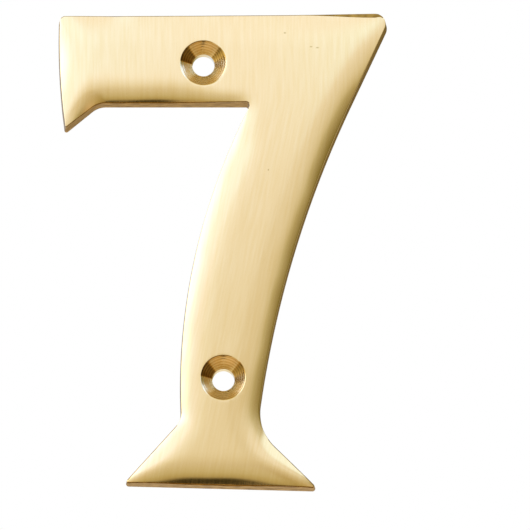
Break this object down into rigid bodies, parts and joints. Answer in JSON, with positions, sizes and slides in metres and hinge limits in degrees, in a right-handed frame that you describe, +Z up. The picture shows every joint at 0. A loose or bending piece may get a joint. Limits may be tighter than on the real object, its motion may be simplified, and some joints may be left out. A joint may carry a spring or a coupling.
{
  "type": "door number",
  "caption": "Cast brass door number, the figure seven, with rolled front edges, a flat back and countersunk screw holes for fixing it to a door.",
  "frame": {"origin": "on the flat back, on the axis of the upper screw hole", "axes": "+Z up as it hangs on a door, front faces -Y, the back lies against the door at Y = 0, +X to the right seen from the front"},
  "size_m": [0.052, 0.0035, 0.0762],
  "materials": {
    "brass": "satin, finely brushed"
  },
  "bodies": {
    "root": {"numeral_seven": "brass"}
  },
  "joints": []
}
